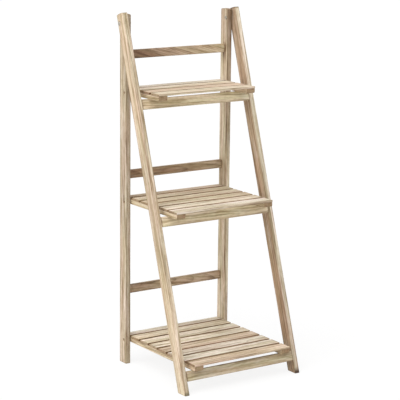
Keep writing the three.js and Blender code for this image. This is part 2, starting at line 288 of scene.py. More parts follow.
def half_section():
    """Half a section's outline, from the middle of its low side round to the middle of its high side.

    A point is (a_x * thin / 2, a_y * deep / 2) + radius * b, so one pair of arrays serves every size and
    every corner radius. On a corner, b = (cos t - 1, sin t - 1) turned to that corner. On the side between,
    a_y = -b_y runs from -1 to 1.
    """
    turn_low = np.linspace(-np.pi / 2, 0, CORNER_STEPS + 1)
    turn_high = turn_low + np.pi / 2
    side = -np.cos(np.linspace(0, np.pi, SIDE_STEPS + 2))[1:-1]
    a_low = np.column_stack([np.ones_like(turn_low), -np.ones_like(turn_low)])
    b_low = np.column_stack([np.cos(turn_low) - 1, np.sin(turn_low) + 1])
    a_side = np.column_stack([np.ones_like(side), side])
    b_side = np.column_stack([np.zeros_like(side), -side])
    a_high = np.ones((CORNER_STEPS + 1, 2))
    b_high = np.column_stack([np.cos(turn_high) - 1, np.sin(turn_high) - 1])
    a = np.vstack([[(0, -1)], a_low, a_side, a_high, [(0, 1)]])
    b = np.vstack([[(0, 0)], b_low, b_side, b_high, [(0, 0)]])
    return a, b


HALF_A, HALF_B = half_section()
HALF = len(HALF_A)
FLIP = np.array([-1.0, 1.0])
RING_A = np.vstack([HALF_A, HALF_A[-2:0:-1] * FLIP])
RING_B = np.vstack([HALF_B, HALF_B[-2:0:-1] * FLIP])
RING = len(RING_A)
print("outline points:", RING)

# %% Carry the outline along the grain
STATION_GAP = 0.022
END_RINGS = 4            # rings on the quarter circle at each end
EASE_STRAY = 0.25        # how much the corner radius drifts, as a share of it
DRIFT_WAVES = ((1, 0.5), (2.3, 0.3), (5.1, 0.2))     # waves in the board's length, and their heights
BOW = 0.0001             # how far a free board strays from its line


def drift(rng, along, size):
    """A slow random curve: three sine waves of falling height, whose sum stays within size."""
    total = np.zeros_like(along)
    for waves, height in DRIFT_WAVES:
        total += height * np.sin(2 * np.pi * waves * along + rng.uniform(0, 2 * np.pi))
    return size * total


def board_surface(length, thin, deep, ease, start, end, rng, bow):
    """Points (stations, ring, 3) of a board: x across its thin side, y across its deep side, z along it.

    At each station the outline is drawn with its own corner radius. Near the ends it shrinks along a quarter
    circle, inset = ease * (1 - cos t) at ease * (1 - sin t) from the end, so that the ends are eased too.
    start(y) and end(y) give where each fibre begins and stops, which makes arched and slanted ends.
    """
    quarter = np.linspace(0, np.pi / 2, END_RINGS)
    rise, inset_end = ease * (1 - np.sin(quarter)), ease * (1 - np.cos(quarter))
    middle = max(3, int(length / STATION_GAP))
    share = 0.5 - 0.5 * np.cos(np.linspace(0, np.pi, middle + 2)[1:-1])
    inset = np.concatenate([inset_end[::-1], np.zeros(middle), inset_end])
    along = np.concatenate([np.zeros(END_RINGS), share, np.ones(END_RINGS)])
    radius = ease * (1 + EASE_STRAY * drift(rng, along, 1.0))
    points = RING_A * (thin / 2, deep / 2) + radius[:, None, None] * RING_B
    shrink = 1 - inset[:, None, None] / np.array([thin / 2, deep / 2])
    points = points * shrink
    y = points[..., 1]
    low, high = start(y), end(y)
    z = low + ease + (high - low - 2 * ease) * along[:, None]
    z[:END_RINGS] = low[:END_RINGS] + rise[::-1, None]
    z[-END_RINGS:] = high[-END_RINGS:] - rise[:, None]
    line = 4 * along * (1 - along)
    x = points[..., 0] + (line * drift(rng, along, bow))[:, None]
    y = y + (line * drift(rng, along, bow))[:, None]
    return np.stack([x, y, z], axis=-1)


print("end rings:", END_RINGS, "and a station every", STATION_GAP * 1000, "mm")


# %% Join the rings
def ring_faces(rings, steps):
    """Quads that join each ring of points to the next, with so many points to a ring."""
    ring = np.arange(steps)
    after = (ring + 1) % steps
    first = np.arange(rings - 1)[:, None] * steps
    quads = np.stack([first + ring, first + after, first + steps + after, first + steps + ring], -1)
    return [tuple(quad) for quad in quads.reshape(-1, 4).tolist()]


def backwards(faces):
    """The same faces, looking the other way."""
    return [face[::-1] for face in faces]


def board_faces(stations):
    """Quads round the sides, and strips across both ends that join each fibre to its mirror image."""
    sides = ring_faces(stations, RING)
    mirror = (RING - np.arange(RING)) % RING
    i = np.arange(HALF - 1)
    cap = np.stack([i, i + 1, mirror[i + 1], mirror[i]], -1)
    last = (stations - 1) * RING
    ends = []
    for quad in cap.tolist():
        corners_in_order = tuple(dict.fromkeys(quad))
        ends += [tuple(last + c for c in corners_in_order), corners_in_order[::-1]]
    return sides + ends, len(sides)


print("faces of a board with 30 stations:", len(board_faces(30)[0]))

# %% [markdown]
# ## Where the wood was in the tree
# The look of a board comes from where it was cut: close to the heart the rings are tight curves, far from
# it they are nearly straight lines, and a saw that runs a degree off the tree's line opens them into
# arches. A flat picture of grain would break at every edge. So each point of each board remembers its
# place in the log, as an attribute, and the finish works out rings there. Faces, edges and end grain then
# agree.

# %% Give a board its place in the log
def unit(vector):
    """The vector at a length of 1."""
    return np.array(vector, float) / np.linalg.norm(vector)


class Placement:
    """Where a board lies: its origin and its thin, deep and grain directions in the stand's frame."""

    def __init__(self, origin, thin_axis, deep_axis, grain_axis):
        self.origin = np.array(origin, float)
        self.axes = np.array([unit(thin_axis), unit(deep_axis), unit(grain_axis)])

    def to_stand(self, local):
        """Points of the board, in the stand's frame."""
        return local @ self.axes + self.origin

    def to_board(self, points):
        """Points of the stand, in the board's own directions."""
        return (points - self.origin) @ self.axes.T

    def mirrors(self):
        """Whether these directions make a left hand, which turns a surface inside out."""
        return np.linalg.det(self.axes) < 0


def store(mesh, name, kind, values, field):
    """Puts one value per point on the mesh."""
    attribute = mesh.attributes.new(name, kind, "POINT")
    attribute.data.foreach_set(field, np.ascontiguousarray(values, np.float32).ravel())


print("(3, 4, 0) points towards", unit((3, 4, 0)))

# %% Remember what the finish needs
# All four are in corner radii: how far the end grain and the darkened edges (grime and painted shade) reach,
# how close to a narrow side the painted shade of the gaps between slats starts, and how far in from its
# corners it fades.
END_REACH, EDGE_REACH, GAP_SHADE_REACH, GAP_SHADE_FADE = 0.35, 1.4, 0.6, 0.8


def remember_log(mesh, placement, size, ends, cut, tone, gap_shade_sides):
    """Stores each point's place in the log, its piece's colour, and how near it is to an end or an edge.

    The log's axis is at cut["heart"] from the board's middle and leans by cut["lean"] against the grain:
    place = (x, y) + heart + lean * z, and z moved by a length of its own so that no two boards repeat.
    tone(local, z) gives the colours. The last argument says how much painted shade the low and the high
    narrow side get, the shade that falls in the gaps between slats.
    """
    points = np.empty(len(mesh.vertices) * 3)
    mesh.vertices.foreach_get("co", points)
    local = placement.to_board(points.reshape(-1, 3))
    thin, deep, ease = size
    start, end = ends
    middle = (start(0 * local[:, 1]) + end(0 * local[:, 1])) / 2
    z = local[:, 2] - middle
    across = local[:, :2] + np.array(cut["heart"]) + np.outer(z, cut["lean"])
    store(mesh, "log", "FLOAT_VECTOR", np.column_stack([across, z + cut["along"]]), "vector")
    store(mesh, "tone", "FLOAT_COLOR", tone(local, z), "color")
    to_end = np.minimum(local[:, 2] - start(local[:, 1]), end(local[:, 1]) - local[:, 2])
    store(mesh, "end_grain", "FLOAT", (to_end < END_REACH * ease).astype(float), "value")
    walls = np.column_stack([thin / 2 - np.abs(local[:, 0]), deep / 2 - np.abs(local[:, 1]), to_end])
    near = np.sort(np.abs(walls), axis=1)[:, :2].sum(axis=1)
    store(mesh, "edge", "FLOAT", np.clip(EDGE_REACH - near / ease, 0, 1), "value")
    # painted shade: a slat's narrow long sides are darkened, where the gaps between slats fall into shade
    on_side = walls[:, 1] < GAP_SHADE_REACH * ease
    between = np.clip(walls[:, 0] / (GAP_SHADE_FADE * ease), 0, 1)
    side_gap_shade = np.where(local[:, 1] < 0, *gap_shade_sides)
    store(mesh, "gap_shade", "FLOAT", on_side * between * side_gap_shade, "value")


print("attributes: log, tone, end_grain, edge, sawn")

# %% [markdown]
# ## The wood
# This is a pale, quick-grown softwood with a thin wash rubbed into it. Its rings are wide and soft: each
# year starts pale and darkens slowly to a sharp brown line. On top come long bands where the sap ran,
# narrow streaks, single thin lines that come and go, a drift between pink and green, patches where the
# wash took, a fine mottle, short dark flecks and a rare knot that the rings bend round. Ends stay browner,
# the eased edges are darkened by grime and by painted shade, and a slat's long narrow sides are darkened
# as painted shade for the gaps between slats. All of it is worked out in the log's own frame, so it
# needs no picture.

# %% Rings and knots
RING_WIDTH = 0.0046
RING_POWER = 4.0         # how long a year stays pale before it darkens
RING_CLOSES = 0.93       # from here to the year's end the dark line fades
WEAKEST_YEAR = 0.25
SWAY, WOBBLE, KNOT_PUSH = 0.022, 0.0026, 0.006
KNOT_CELLS = (17.0, 17.0, 2.6)
KNOT_FADE, BEND_FADE = (0.0048, 0.0030), (0.022, 0.002)


def remembered(finish, name, output="Fac"):
    """What each point of the board has stored under that name."""
    return finish.node("ShaderNodeAttribute", {"attribute_name": name}, output=output)


def stretched_noise(finish, place, across, along, detail):
    """Noise drawn out along the grain: across and along are its details in a metre."""
    drawn = finish.vector("MULTIPLY", place, (across, across, along))
    return finish.node("ShaderNodeTexNoise", None, {"Vector": drawn, "Scale": 1.0, "Detail": detail})


def knots(wood, place):
    """How much of a knot a point is, and how far the grain bends there, from the nearest cell's knot."""
    cells = wood.vector("MULTIPLY", place, KNOT_CELLS)
    cell = wood.node("ShaderNodeTexVoronoi", None, {"Vector": cells, "Scale": 1.0}, "Position")
    to_knot = wood.vector("DISTANCE", place, wood.vector("DIVIDE", cell, KNOT_CELLS), "Value")
    return wood.step(to_knot, *KNOT_FADE), wood.step(to_knot, *BEND_FADE)


def rings(wood, place, bend):
    """How far from the heart a point grew, and how dark its year's ring is there.

    grown = distance from the heart + a slow sway + a fine wobble + what a knot pushes aside. Through a year
    part runs from 0 to 1, and the ring is part to the power RING_POWER, times the year's own strength.
    """
    sway = stretched_noise(wood, place, 7, 1.1, 1.0) - 0.5
    wobble = stretched_noise(wood, place, 42, 5, 2.0) - 0.5
    across = wood.vector("MULTIPLY", place, (1, 1, 0))
    radius = wood.vector("LENGTH", across, (0, 0, 0), "Value")
    grown = radius + SWAY * sway + WOBBLE * wobble + KNOT_PUSH * bend
    year = grown / RING_WIDTH
    part = year.fraction()
    late = part**RING_POWER * (1 - wood.step(part, RING_CLOSES, 1.0))
    vigour = wood.node("ShaderNodeTexWhiteNoise", {"noise_dimensions": "1D"}, {"W": year.floor()}, "Value")
    return grown, late * (WEAKEST_YEAR + vigour)


print("a year's ring:", RING_WIDTH * 1000, "mm")

# %% Washed softwood
HEARTWOOD = 0.030        # browner within this distance of the heart
PINK, GREEN = (1.0, 0.955, 0.985, 1), (0.960, 0.985, 0.955, 1)
BAND_BROWN, STREAK_BROWN, LINE_BROWN = (0.79, 0.75, 0.67, 1), (0.66, 0.61, 0.53, 1), (0.52, 0.46, 0.37, 1)
HEART_BROWN, RING_BROWN, FLECK_BROWN = (0.66, 0.56, 0.50, 1), (0.47, 0.40, 0.32, 1), (0.52, 0.42, 0.33, 1)
# The last of these is grime on the eased edges, and partly painted shade there.
KNOT_BROWN, WASH_WHITE, GRIME_AND_SHADE = (0.095, 0.055, 0.032, 1), (0.80, 0.76, 0.69, 1), (0.50, 0.41, 0.31, 1)
# The first colour on the next line is painted shade, for the gaps between slats.
GAP_SHADE_BROWN, END_BROWN = (0.50, 0.37, 0.26, 1), (0.40, 0.31, 0.22, 1)
MULTIPLIED, COVERED = "MULTIPLY", "MIX"
# Each noise's details in a metre across the grain and along it, and how often it repeats finer.
GRAIN = {
    "hue": (75, 5.0, 2.0),
    "broad": (22, 3.0, 2.0),
    "band": (95, 3.0, 3.0),
    "streak": (250, 8.0, 2.0),
    "line": (62, 2.2, 2.0),
    "line_comes": (30, 6.0, 1.0),
    "washed": (45, 12.0, 3.0),
    "mottle": (190, 70, 3.0),
    "fibre": (900, 22, 3.0),
    "fleck": (430, 24, 1.0),
}


def make_wood():
    """The finish of every board: over its own tone, one thin layer after another, each by its share."""
    wood = Finish(bpy.data.materials.new("washed_softwood"))
    place = remembered(wood, "log", "Vector")
    # The last of these is painted shade, for the gaps between slats.
    end_grain, edge, gap_shade = (remembered(wood, name) for name in ("end_grain", "edge", "gap_shade"))
    knot, bend = knots(wood, place)
    grown, dark_ring = rings(wood, place, bend)
    noise = {name: stretched_noise(wood, place, *sizes) for name, sizes in GRAIN.items()}

    def where(name, low, high):
        """0 where that noise is below low, 1 where it is above high."""
        return wood.step(noise[name], low, high)

    lengthwise = 1 - 0.8 * end_grain
    heart = wood.step(grown, HEARTWOOD + 0.004, HEARTWOOD - 0.010)
    line = wood.step(abs(noise["line"] - 0.5), 0.030, 0.004) * where("line_comes", 0.42, 0.58)
    fleck = where("fleck", 0.60, 0.72)
    layers = [
        (1.0, wood.mix(where("hue", 0.40, 0.60), PINK, GREEN), MULTIPLIED),
        (heart, HEART_BROWN, MULTIPLIED),
        (where("broad", 0.38, 0.66) * 0.5, BAND_BROWN, MULTIPLIED),
        (dark_ring, RING_BROWN, MULTIPLIED),
        (where("band", 0.47, 0.57), BAND_BROWN, MULTIPLIED),
        (where("streak", 0.50, 0.62) * lengthwise * 0.9, STREAK_BROWN, MULTIPLIED),
        (line * lengthwise * 0.8, LINE_BROWN, MULTIPLIED),
        (where("washed", 0.50, 0.70) * 0.20, WASH_WHITE, COVERED),
        (where("mottle", 0.42, 0.66) * lengthwise * 0.55, BAND_BROWN, MULTIPLIED),
        (noise["fibre"] * 0.30, STREAK_BROWN, MULTIPLIED),
        (fleck * lengthwise * 0.4, FLECK_BROWN, MULTIPLIED),
        (bend * 0.30, RING_BROWN, MULTIPLIED),
        (knot * 0.85, KNOT_BROWN, COVERED),
        (end_grain * 0.9, END_BROWN, MULTIPLIED),
        # grime on the eased edges, partly painted shade
        (edge * (1 - end_grain) * where("washed", 0.30, 0.55), GRIME_AND_SHADE, MULTIPLIED),
        # painted shade in the gaps between slats
        (gap_shade, GAP_SHADE_BROWN, MULTIPLIED),
    ]
    colour = remembered(wood, "tone", "Color")
    for share, layer, blend in layers:
        colour = wood.mix(share, colour, layer, blend)

    height = 0.5 * dark_ring + 0.45 * noise["fibre"] - 0.5 * fleck + 0.3 * knot
    bump = wood.node("ShaderNodeBump", None, {"Strength": 0.45, "Distance": 0.0004, "Height": height})
    rough = 0.64 + 0.16 * noise["fibre"] + 0.10 * end_grain
    wood.surface(Base_Color=colour, Roughness=rough, Normal=bump, Metallic=0.0)
    return wood.owner


WOOD = make_wood()
print("wood nodes:", len(WOOD.node_tree.nodes))

# %% [markdown]
# ## Sorting the boards
# No two boards in such a stand match. Some are creamy sapwood, some lean to pink or to a greenish grey,
# and the bars at the back are plainly browner. A joiner sorts them by eye. So does this list: a few named
# tones, one for each board, and over it the places where a board's colour changes along it or from face
# to face, and a few places where shade is painted into a face's colour.

# %% Tones
TONES = {
    "chalk": linear(254, 247, 236),
    "bone": linear(250, 240, 222),
    "cream": linear(244, 231, 208),
    "straw": linear(238, 225, 194),
    "rose": linear(240, 221, 202),
    "sand": linear(232, 214, 187),
    "dove": linear(218, 202, 180),
    "reed": linear(213, 201, 174),
    "ash": linear(206, 192, 173),
    "tan": linear(208, 187, 160),
    "brown": linear(198, 172, 146),
    "umber": linear(178, 155, 131),
    "moss": linear(155, 150, 126),
    "dark": linear(152, 128, 102),
    "black": linear(84, 62, 44),
}
SLAT_TONES = {
    "top": ("chalk", "bone", "rose", "bone"),
    "middle": ("rose", "cream", "cream", "cream", "bone", "chalk"),
    "bottom": ("chalk", "cream", "bone", "bone", "rose", "chalk", "chalk", "rose"),
}
FRAME_TONES = {
    "rear_post_left": "dove", "rear_post_right": "cream",
    "rear_bar_top": "tan", "rear_bar_middle": "tan", "rear_bar_bottom": "tan",
    "front_rail_left": "sand", "front_rail_right": "bone",
    "front_bar_top": "straw", "front_bar_middle": "straw", "front_bar_bottom": "reed",
}
print("tones:", len(TONES))

# %% Stains and painted shade
LEFT_X, FRONT_Y = -0.0070, -0.0165     # from a board's middle: past these a point is on that face


def ramp(value, low, high):
    """0 below low, 1 above high, straight between; low may be the larger."""
    return np.clip((value - low) / (high - low), 0, 1)


def patch(value, low, high, soft):
    """1 between low and high, and 0 further than soft outside them."""
    return ramp(value, low - soft, low) * ramp(value, high + soft, high)


def left_face(x, soft=0.001):
    """1 on an upright's left face, and 0 further than soft from it."""
    return ramp(x, LEFT_X + soft, LEFT_X)


def front_face(y, soft=0.001):
    """1 on an upright's front face, and 0 further than soft from it."""
    return ramp(y, FRONT_Y + soft, FRONT_Y)


# More tones for a board that isn't one colour all over, and how much of each at (x, y, z) from its middle.
# Those marked below are painted shade.
STAINS_AND_SHADE = {
    "rear_post_left": [
        ("ash", lambda x, y, z: front_face(y) * ramp(z, 0.42, 0.25)),
        ("ash", lambda x, y, z: left_face(x) * patch(z, -0.03, 0.13, 0.10) * 0.7),
    ],
    "rear_post_right": [
        # painted shade: the right post's front face darkens towards the top, in the corner beside the rail
        ("dark", lambda x, y, z: front_face(y) * ramp(z, 0.0, 0.42) * 0.9),
        ("dove", lambda x, y, z: left_face(x, 0.002) * ramp(z, 0.34, 0.44)),
        # painted shadow on the inner face, just above the middle shelf
        ("umber", lambda x, y, z: left_face(x, 0.002) * patch(z, -0.005, 0.034, 0.012) * 0.55),
        # painted shadow: a dark spot high on the inner face
        ("dark", lambda x, y, z: left_face(x, 0.002) * patch(z, 0.370, 0.398, 0.012)
         * patch(y, -0.010, 0.004, 0.004)),
    ],
    "rear_bar_top": [
        ("umber", lambda x, y, z: ramp(z, 0.04, -0.10) * 0.85),
        ("straw", lambda x, y, z: ramp(z, 0.06, 0.16)),
    ],
    "rear_bar_bottom": [
        ("umber", lambda x, y, z: ramp(z, -0.03, -0.10)),
    ],
    "front_rail_right": [
        ("brown", lambda x, y, z: ramp(x, 0.006, -0.006) * (1 - front_face(y, 0.0015))
         * (1 - 0.25 * ramp(z, 0.22, 0.36))),
        ("umber", lambda x, y, z: left_face(x) * ramp(z, -0.28, -0.40) * 0.8),
        ("ash", lambda x, y, z: front_face(y) * ramp(z, -0.06, -0.26) * 0.9),
        ("chalk", lambda x, y, z: front_face(y) * patch(z, -0.01, 0.10, 0.05) * 0.9),
        ("dark", lambda x, y, z: ramp(z, 0.5235, 0.5255)),
        # the foot's front face darkens to near black just above the floor
        ("black", lambda x, y, z: front_face(y, 0.0025) * ramp(z, -0.5185, -0.5245)),
    ],
    "front_rail_left": [
        ("bone", lambda x, y, z: front_face(y) * 0.5),
        ("reed", lambda x, y, z: front_face(y) * ramp(z, -0.42, -0.50)),
        ("cream", lambda x, y, z: left_face(x) * ramp(z, -0.22, -0.50) * 0.6),
        ("dove", lambda x, y, z: left_face(x) * patch(z, -0.10, 0.10, 0.10) * 0.8),
        # the foot's front face darkens to a grey green just above the floor
        ("moss", lambda x, y, z: front_face(y, 0.0025) * ramp(z, -0.5215, -0.5265)),
    ],
}


def painted(first, stains_and_shade):
    """A board's colours: its first tone, and over it each stain's or painted shade's tone where its share is
    1.
    """
    def tone(local, z):
        colour = np.tile(TONES[first], (len(local), 1))
        for second, share in stains_and_shade:
            amount = share(local[:, 0], local[:, 1], z)[:, None]
            colour = colour * (1 - amount) + TONES[second] * amount
        return colour

    return tone


print("boards with stains:", len(STAINS_AND_SHADE))

# %% How a board was sawn
HEART_AWAY = (0.045, 0.11)
SAW_LEAN = 0.014


def seed_of(name):
    """The same number for the same name in every run."""
    return zlib.crc32(name.encode())


def cut_for(name, heart=None, lean=None):
    """Where the heart is from the board's middle, how the saw leaned, and how far up the log it lay."""
    rng = np.random.default_rng(seed_of(name))
    turn = rng.uniform(0, 2 * np.pi)
    away = rng.uniform(*HEART_AWAY)
    if heart is None:
        heart = (away * math.cos(turn), away * math.sin(turn))
    if lean is None:
        lean = rng.normal(0, SAW_LEAN, 2)
    return {"heart": heart, "lean": lean, "along": rng.uniform(1, 40)}


print("a slat's heart:", [round(v, 3) for v in cut_for("top_slat_1")["heart"]])


# %% Make one board
def solid_of(name, points, faces, smooth_sides, inside_out):
    """A mesh object from arrays; the sides shade smoothly and the cut ends flat."""
    mesh = bpy.data.meshes.new(name)
    if inside_out:
        faces = backwards(faces)
    mesh.from_pydata(points.reshape(-1, 3).tolist(), [], faces)
    smooth = np.zeros(len(faces), bool)
    smooth[:smooth_sides] = True
    mesh.polygons.foreach_set("use_smooth", smooth)
    mesh.update()
    made = bpy.data.objects.new(name, mesh)
    scene.collection.objects.link(made)
    return made


def subtract(piece, cutter):
    """Cuts the cutter out of the piece and keeps the result as the piece's own mesh."""
    cut = piece.modifiers.new("cut", "BOOLEAN")
    cut.operation, cut.solver, cut.object = "DIFFERENCE", "EXACT", cutter
    graph = bpy.context.evaluated_depsgraph_get()
    after = bpy.data.meshes.new_from_object(piece.evaluated_get(graph))
    piece.modifiers.clear()
    before, piece.data = piece.data, after
    after.name = piece.name
    bpy.data.meshes.remove(before)
    bpy.data.objects.remove(cutter)


def make_board(node, body, placement, length, thin, deep, ease, tone,
               start=None, end=None, cut=None, bow=BOW, cutter=None, gap_shade=(0.0, 0.0), stain=None):
    """A board that stands for one CAD node and rides on its body."""
    start = start or (lambda y: 0 * y)
    end = end or (lambda y: 0 * y + length)
    rng = np.random.default_rng(seed_of(node + " edges"))
    points = board_surface(length, thin, deep, ease, start, end, rng, bow)
    faces, sides = board_faces(len(points))
    piece = solid_of("board_" + node, placement.to_stand(points), faces, sides, placement.mirrors())
    if cutter:
        subtract(piece, cutter)
    colours = painted(tone, STAINS_AND_SHADE.get(node, []) + ([stain] if stain else []))
    size, ends = (thin, deep, ease), (start, end)
    # The last argument is painted shade on the narrow sides, for the gaps between slats.
    remember_log(piece.data, placement, size, ends, cut or cut_for(node), colours, gap_shade)
    piece.data.materials.clear()
    piece.data.materials.append(WOOD)
    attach(piece, body)
    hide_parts(node)


def box_middle(node):
    """A CAD node's low corner, high corner and middle."""
    low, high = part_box(node)
    return np.array(low), np.array(high), (np.array(low) + np.array(high)) / 2


print("the left post's middle:", [round(v, 4) for v in box_middle("rear_post_left")[2]])

# %% [markdown]
# ## Posts and rails
# All four uprights are the same stock with blunt tops. The posts stand straight and their screws sit in
# countersunk holes. The rails lean and their feet are cut level, so that they stand flat on the floor. A
# top end is a very shallow arch with rounded corners. It could be cut with another solid, but the surface
# already takes the place where each fibre stops. Only the holes are cut out, with turned shapes.

# %% Turned shapes, for holes and hardware
def closed_faces(rings, steps):
    """The rings' quads, and a fan at each end round a pole: the poles' points follow the last ring's."""
    low_pole, high_pole = rings * steps, rings * steps + 1
    top = (rings - 1) * steps
    around = [(a, (a + 1) % steps) for a in range(steps)]
    fans = [(low_pole, b, a) for a, b in around] + [(high_pole, top + a, top + b) for a, b in around]
    return ring_faces(rings, steps) + fans


def around_x(x, radius, centre, steps):
    """Rings about the X axis through centre = (y, z): each is (x, radius * cos t, radius * sin t)."""
    angle = np.linspace(0, 2 * np.pi, steps, endpoint=False)
    y = centre[0] + radius[:, None] * np.cos(angle)
    z = centre[1] + radius[:, None] * np.sin(angle)
    return np.stack([np.repeat(x[:, None], steps, 1), y, z], -1).reshape(-1, 3)


def turned(profile, centre, steps):
    """A profile of (x, radius) turned about the X axis through centre. It starts and ends on the axis."""
    x, radius = np.array(profile, float).T
    poles = [(x[0], *centre), (x[-1], *centre)]
    points = np.vstack([around_x(x[1:-1], radius[1:-1], centre, steps), poles])
    faces = closed_faces(len(profile) - 2, steps)
    return points, backwards(faces) if x[-1] < x[0] else faces


def gather(shapes):
    """Several (points, faces) shapes as one."""
    points, faces, offset = [], [], 0
    for shape_points, shape_faces in shapes:
        points.append(shape_points)
        faces += [tuple(i + offset for i in f) for f in shape_faces]
        offset += len(shape_points)
    return np.vstack(points), faces


print("faces of a plug with 8 sides:", len(turned([(0, 0), (0, 1), (1, 1), (1, 0)], (0, 0), 8)[1]))

# %% Blunt tops and holes
SCREW_MOUTH, SCREW_THROAT, SCREW_HOLE_DEEP = 0.00475, 0.00255, 0.012
COUNTERSINK_DEEP, COUNTERSINK_LIP = 0.0036, 0.00095
SLEEVE_HOLE, SLEEVE_HOLE_DEEP, BOLT_HOLE = 0.0044, 0.0094, 0.0034
HOLE_STEPS = 32
CUT_PAST = 0.001
END_CROWN, END_ROUND = 0.0015, 0.003


def blunt_end(top, deep):
    """Where a fibre stops at a top end: a flat circle over the depth, with a small one at each corner.

    The flat circle is END_CROWN high in the middle. The corner's has radius END_ROUND and touches
    the side and, from inside, the flat circle.
    """
    half = deep / 2
    radius = (half * half + END_CROWN * END_CROWN) / (2 * END_CROWN)
    arch_z = top - radius
    inside = half - END_ROUND
    round_z = arch_z + math.sqrt((radius - END_ROUND) ** 2 - inside**2)

    def stop(y):
        arch = arch_z + np.sqrt(radius**2 - y**2)
        corner = round_z + np.sqrt(np.maximum(END_ROUND**2 - (np.abs(y) - inside) ** 2, 0))
        return np.where(np.abs(y) * (radius - END_ROUND) > inside * radius, corner, arch)

    return stop


def countersink(side, outer, place):
    """A funnel-shaped hole at place = (y, z), from the post's outer face inwards."""
    steps = [(CUT_PAST, 0), (CUT_PAST, SCREW_MOUTH), (-COUNTERSINK_LIP, SCREW_MOUTH),
             (-COUNTERSINK_DEEP, SCREW_THROAT), (-SCREW_HOLE_DEEP, SCREW_THROAT), (-SCREW_HOLE_DEEP, 0)]
    return turned([(outer + side * depth, radius) for depth, radius in steps], place, HOLE_STEPS)


def straight_hole(low, high, radius, place):
    """A hole along X between two places on it."""
    return turned([(low, 0), (low, radius), (high, radius), (high, 0)], place, HOLE_STEPS)


def cutter_of(shapes):
    """One solid that cuts all these holes."""
    points, faces = gather(shapes)
    return solid_of("cutter", points, faces, 0, False)


print("a top is %.1f mm lower at its sides" % (-1000 * blunt_end(0, 0.034)(0.017)))

# %% Posts
EASE = 0.0016
for side, sign in SIDES:
    node = f"rear_post_{side}"
    low, high, middle = box_middle(node)
    thin, deep, height = high - low
    placement = Placement((middle[0], middle[1], 0), (1, 0, 0), (0, 1, 0), (0, 0, 1))
    outer, inner = (high[0], low[0]) if sign > 0 else (low[0], high[0])
    hinge_place = box_middle(f"hinge_bolt_{side}")[2][1:]
    inner_end = inner + sign * SLEEVE_HOLE_DEEP
    holes = [countersink(sign, outer, box_middle(f"{shelf}_pivot_screw_{side}")[2][1:]) for shelf in SHELVES]
    holes += [straight_hole(*sorted((inner - sign * CUT_PAST, inner_end)), SLEEVE_HOLE, hinge_place),
              straight_hole(*sorted((inner_end, outer + sign * CUT_PAST)), BOLT_HOLE, hinge_place)]
    make_board(node, "rear_frame", placement, height, thin, deep, EASE, FRAME_TONES[node],
               end=blunt_end(height, deep), bow=0.0, cutter=cutter_of(holes))
print("posts:", round(thin * 1000, 1), "x", round(deep * 1000, 1), "mm")

# %% Rails
LEAN = math.radians(17.8)
HINGE_FROM_REAR, HINGE_HIGH = 0.026, 0.978
# From the hinge bolt: the rail's front and rear faces, square to the rail, and its top, along it.
RAIL_FRONT, RAIL_REAR, RAIL_TOP = -0.0257, 0.0083, 0.0259
RAIL_MIDDLE, RAIL_DEEP = (RAIL_FRONT + RAIL_REAR) / 2, RAIL_REAR - RAIL_FRONT
RAIL_SAW_LEAN = (0.001, 0.004)
hinge = np.array([0, cad_high.y - HINGE_FROM_REAR, HINGE_HIGH])
along_rail = np.array([0, math.sin(LEAN), math.cos(LEAN)])
square_to_rail = np.array([0, math.cos(LEAN), -math.sin(LEAN)])


def level_foot(y):
    """Where a rail's fibre meets the floor: the level foot runs up by tan(lean) along the rail's depth."""
    return ((y + RAIL_MIDDLE) * math.sin(LEAN) - HINGE_HIGH) / math.cos(LEAN)


for side, sign in SIDES:
    node = f"front_rail_{side}"
    low, high, middle = box_middle(node)
    origin = hinge + np.array([middle[0], 0, 0]) + square_to_rail * RAIL_MIDDLE
    placement = Placement(origin, (1, 0, 0), square_to_rail, along_rail)
    length = HINGE_HIGH / math.cos(LEAN) + RAIL_TOP
    hole = straight_hole(low[0] - CUT_PAST, high[0] + CUT_PAST, BOLT_HOLE, hinge[1:])
    make_board(node, "front_frame", placement, length, high[0] - low[0], RAIL_DEEP, EASE,
               FRAME_TONES[node], start=level_foot, end=blunt_end(RAIL_TOP, RAIL_DEEP),
               cut=cut_for(node, lean=RAIL_SAW_LEAN), bow=0.0, cutter=cutter_of([hole]))
print("rails lean", round(math.degrees(LEAN), 1), "degrees")

# %% [markdown]
# ## Bars
# The bars run between the uprights and their tenons are hidden, so a bar shows only from shoulder to
# shoulder. It could be drawn with its tenons, but nobody would see them. Each bar is a board with its
# grain across the stand, which ends a hair inside the mortise, so that no light comes through.

# %% Rear and front bars
TENON_HIDDEN = 0.0078     # how much of each CAD bar's end is inside the upright
JOINT_GRIME = 0.003
BAR_EASE = 0.0014
BAR_THICK, BAR_HIGH = 0.012, 0.028
# Where the heart was from the bar's middle, and how the saw leaned.
REAR_CUTS = {"top": ((0.024, 0.040), (0.03, 0.28)), "middle": ((0.030, 0.004), (0.05, 0.03)),
             "bottom": ((0.046, -0.006), (0.07, 0.12))}
FRONT_CUT = ((0.10, 0.02), (0.002, 0.012))


def grimy_joints(length):
    """The brown that gathers in the last millimetres at both ends of a bar."""
    half = length / 2
    return "umber", lambda x, y, z: ramp(np.abs(z), half - JOINT_GRIME, half)


def make_bar(node, body, thin, deep, thin_axis, deep_axis, cut):
    """A bar from shoulder to shoulder, with its middle where the CAD bar's is."""
    low, high, middle = box_middle(node)
    length = high[0] - low[0] - 2 * TENON_HIDDEN
    placement = Placement((-length / 2, middle[1], middle[2]), thin_axis, deep_axis, (1, 0, 0))
    make_board(node, body, placement, length, thin, deep, BAR_EASE, FRAME_TONES[node],
               cut=cut_for(node, *cut), stain=grimy_joints(length))


